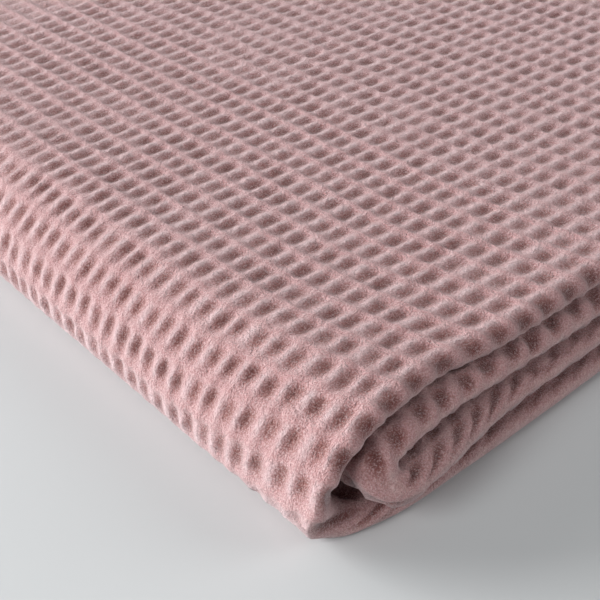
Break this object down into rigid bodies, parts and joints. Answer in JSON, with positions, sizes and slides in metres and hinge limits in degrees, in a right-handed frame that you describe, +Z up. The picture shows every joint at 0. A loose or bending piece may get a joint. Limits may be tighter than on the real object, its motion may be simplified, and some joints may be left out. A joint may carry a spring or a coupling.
{
  "type": "folded waffle blanket",
  "caption": "Brushed cotton waffle blanket, folded back and forth into a flat pad and then in half, with a rounded fold at one end.",
  "frame": {"origin": "middle of the flat underside, in the middle of the folded blanket's bounding box", "axes": "+Z up; +X along the folded blanket, from its last rounded fold to its free ends; +Y across it, away from the rolled near edges"},
  "size_m": [0.65, 0.428, 0.0392],
  "materials": {
    "brushed_cotton": "brushed, matt, waffle weave, dusty rose"
  },
  "bodies": {
    "root": {"blanket_cloth": "brushed_cotton"}
  },
  "joints": []
}
